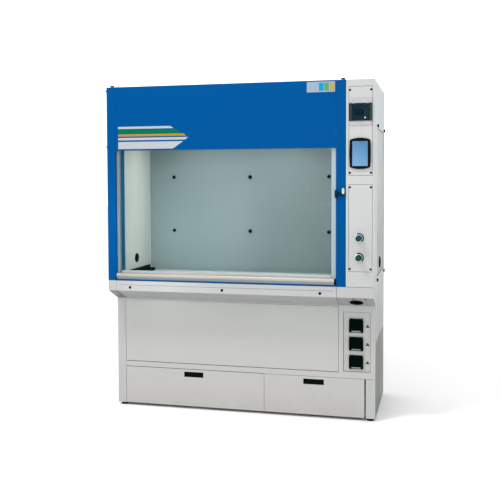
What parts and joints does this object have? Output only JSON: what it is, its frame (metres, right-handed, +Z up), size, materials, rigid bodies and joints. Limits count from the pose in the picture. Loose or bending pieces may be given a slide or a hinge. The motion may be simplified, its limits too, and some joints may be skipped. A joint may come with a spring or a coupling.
{
  "type": "fume hood",
  "caption": "Walk-up laboratory fume hood: counterbalanced vertical glass sash in a blue frame, service column with controls, and a white drawer base on levelling feet.",
  "frame": {"origin": "centre of the footprint box, at the floor", "axes": "+Z up, +X to the service column (right as seen from the front), front faces -Y"},
  "size_m": [1.82, 0.912, 2.245],
  "materials": {
    "casing_white": "smooth semi-gloss powder coat",
    "base_white": "smooth semi-gloss powder coat",
    "frame_blue": "smooth satin powder coat",
    "liner_grey": "chemical resistant coating, satin",
    "worktop_stone": "glazed, slight sheen",
    "sash_pane": "clear laminated safety glass",
    "sash_alloy": "anodised satin",
    "track_alloy": "pale anodised",
    "galvanised": "zinc coated",
    "weight_iron": "dark paint",
    "pulley_alloy": "machined",
    "belt_rubber": "matt",
    "black_plastic": "fine texture",
    "black_screw": "black oxide",
    "black_rubber": "matt",
    "sink_black": "moulded polypropylene",
    "chrome_trim": "polished",
    "knob_green": "moulded, glossy",
    "smoked_flap": "smoked polycarbonate",
    "bezel_black": "moulded, glossy",
    "screen_face": "display glass",
    "lid_black": "moulded, semi-gloss",
    "pale_plastic": "fine texture",
    "white_plastic": "moulded",
    "lamp_diffuser": "opal",
    "motor_paint": "hammered",
    "fan_plastic": "glass filled nylon"
  },
  "bodies": {
    "cabinet": {"left_side_panel": "casing_white", "right_side_panel": "casing_white", "right_access_cover": "casing_white", "side_fixings": "black_plastic", "fascia_left_end": "casing_white", "front_fascia": "casing_white", "column_fascia": "casing_white", "rear_panel": "casing_white", "left_base_side": "base_white", "right_base_side": "base_white", "base_face_frame": "base_white", "base_front_panel": "base_white", "socket_panel": "base_white", "socket_bodies": "pale_plastic", "base_frame": "galvanised", "levelling_feet": "black_rubber", "drawer_runners": "galvanised", "worktop": "worktop_stone", "cup_sink": "sink_black", "chamber_side_walls": "liner_grey", "rear_baffle": "liner_grey", "baffle_knobs": "black_plastic", "chamber_ceiling": "liner_grey", "lamp_panel": "lamp_diffuser", "front_frame": "frame_blue", "top_panel": "frame_blue", "sash_tracks": "track_alloy", "drive_belts": "belt_rubber", "top_deck": "galvanised", "fan_housing": "galvanised", "fan_motor": "motor_paint", "column_front": "casing_white", "column_upper_panel": "casing_white", "column_lower_panel": "casing_white", "panel_screws": "black_screw", "breaker_box": "pale_plastic", "circuit_breakers": "pale_plastic", "screen_bezel": "bezel_black", "screen_glass": "screen_face", "valve_collars": "chrome_trim", "port_grommets": "black_rubber"},
    "sash": {"sash_glass": "sash_pane", "sash_handle": "sash_alloy", "sash_end_fittings": "black_plastic"},
    "weights": {"counterweights": "weight_iron"},
    "cross_shaft": {"cross_shaft": "pulley_alloy"},
    "idlers": {"idler_pulleys": "pulley_alloy"},
    "stop_arm": {"sash_stop": "black_plastic", "sash_stop_tab": "white_plastic"},
    "impeller": {"fan_impeller": "fan_plastic"},
    "breaker_flap": {"breaker_cover": "smoked_flap"},
    "upper_valve": {"upper_valve_knob": "knob_green"},
    "lower_valve": {"lower_valve_knob": "knob_green"},
    "lid_1": {"socket_lid_1": "lid_black"},
    "lid_2": {"socket_lid_2": "lid_black"},
    "lid_3": {"socket_lid_3": "lid_black"},
    "left_drawer": {"left_drawer": "base_white", "left_drawer_pull": "black_plastic"},
    "right_drawer": {"right_drawer": "base_white", "right_drawer_pull": "black_plastic"}
  },
  "joints": [
    {"name": "sash_lift", "type": "slide", "parent": "cabinet", "child": "sash", "axis": [0, 0, 1], "range_m": [0, 0.512]},
    {"name": "weight_drop", "type": "slide", "parent": "cabinet", "child": "weights", "axis": [0, 0, 1], "range_m": [-0.512, 0]},
    {"name": "shaft_turn", "type": "hinge", "parent": "cabinet", "child": "cross_shaft", "pos_m": [0, -0.3237, 2.172], "axis": [-1, 0, 0], "range_deg": [0, 640]},
    {"name": "idler_turn", "type": "hinge", "parent": "cabinet", "child": "idlers", "pos_m": [0, -0.3237, 0.96], "axis": [-1, 0, 0], "range_deg": [0, 640]},
    {"name": "stop_swing", "type": "hinge", "parent": "cabinet", "child": "stop_arm", "pos_m": [0.708, -0.41, 1.503], "axis": [0, 1, 0], "range_deg": [0, 90]},
    {"name": "impeller_spin", "type": "hinge", "parent": "cabinet", "child": "impeller", "pos_m": [-0.088, 0.026, 2], "axis": [0, 0, 1], "continuous": true},
    {"name": "flap_hinge", "type": "hinge", "parent": "cabinet", "child": "breaker_flap", "pos_m": [0.815, -0.411, 2.0585], "axis": [-1, 0, 0], "range_deg": [0, 100]},
    {"name": "upper_valve_turn", "type": "hinge", "parent": "cabinet", "child": "upper_valve", "pos_m": [0.807, -0.434, 1.214], "axis": [0, -1, 0], "range_deg": [0, 270]},
    {"name": "lower_valve_turn", "type": "hinge", "parent": "cabinet", "child": "lower_valve", "pos_m": [0.807, -0.434, 1.09], "axis": [0, -1, 0], "range_deg": [0, 270]},
    {"name": "lid_1_hinge", "type": "hinge", "parent": "cabinet", "child": "lid_1", "pos_m": [0.7745, -0.259, 0.671], "axis": [-1, 0, 0], "range_deg": [0, 100], "stiffness_Nm_per_rad": 0.02},
    {"name": "lid_2_hinge", "type": "hinge", "parent": "cabinet", "child": "lid_2", "pos_m": [0.7745, -0.259, 0.551], "axis": [-1, 0, 0], "range_deg": [0, 100], "stiffness_Nm_per_rad": 0.02},
    {"name": "lid_3_hinge", "type": "hinge", "parent": "cabinet", "child": "lid_3", "pos_m": [0.7745, -0.259, 0.431], "axis": [-1, 0, 0], "range_deg": [0, 100], "stiffness_Nm_per_rad": 0.02},
    {"name": "left_drawer_slide", "type": "slide", "parent": "cabinet", "child": "left_drawer", "axis": [0, -1, 0], "range_m": [0, 0.45]},
    {"name": "right_drawer_slide", "type": "slide", "parent": "cabinet", "child": "right_drawer", "axis": [0, -1, 0], "range_m": [0, 0.45]}
  ],
  "couplings": [
    {"joint": "weight_drop", "follows": "sash_lift", "ratio": -1},
    {"joint": "shaft_turn", "follows": "sash_lift", "rad_per_m": 21.367},
    {"joint": "idler_turn", "follows": "sash_lift", "rad_per_m": 21.367}
  ]
}
